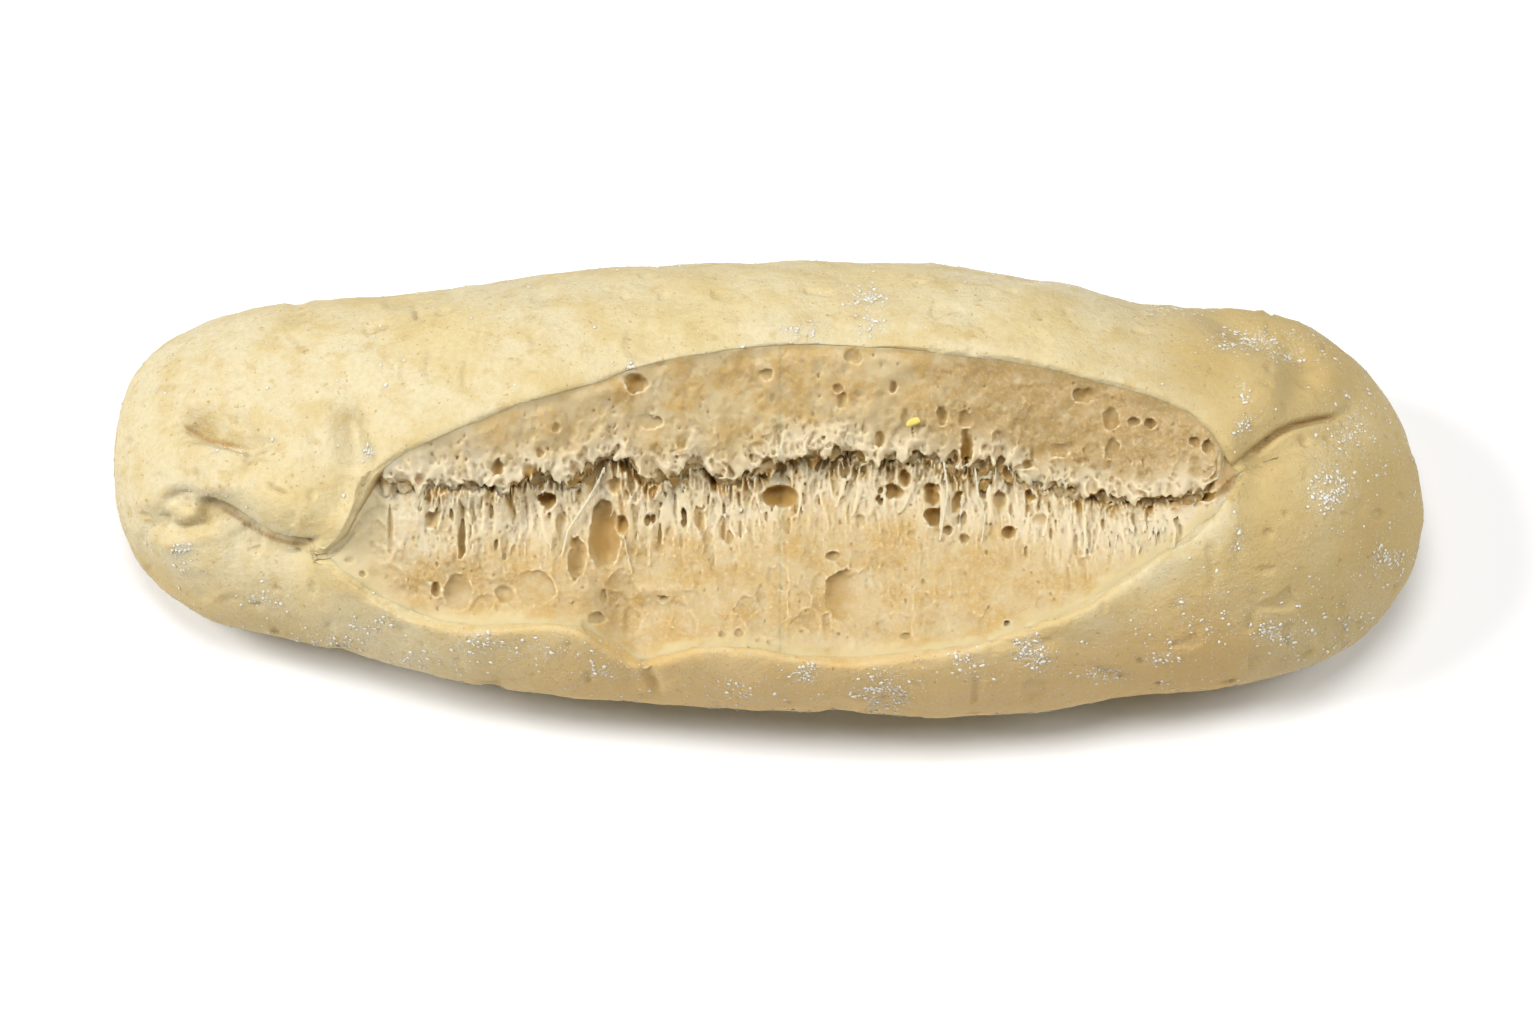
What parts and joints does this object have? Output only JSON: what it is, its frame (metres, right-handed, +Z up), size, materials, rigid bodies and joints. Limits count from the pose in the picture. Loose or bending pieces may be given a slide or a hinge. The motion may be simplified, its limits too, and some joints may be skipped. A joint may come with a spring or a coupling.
{
  "type": "bread roll",
  "caption": "Long pale part-baked bread roll, split open along its top so that the torn crumb shows between two lips of smooth crust.",
  "frame": {"origin": "centre of the plan box at the surface that the roll rests on", "axes": "+X along the roll, +Z up; the burst along the top leans towards -Y"},
  "size_m": [0.2006, 0.0724, 0.0464],
  "materials": {
    "bread": "pale, soft, part-baked crust with a light dusting of flour"
  },
  "bodies": {
    "root": {"bread_roll": "bread"}
  },
  "joints": []
}
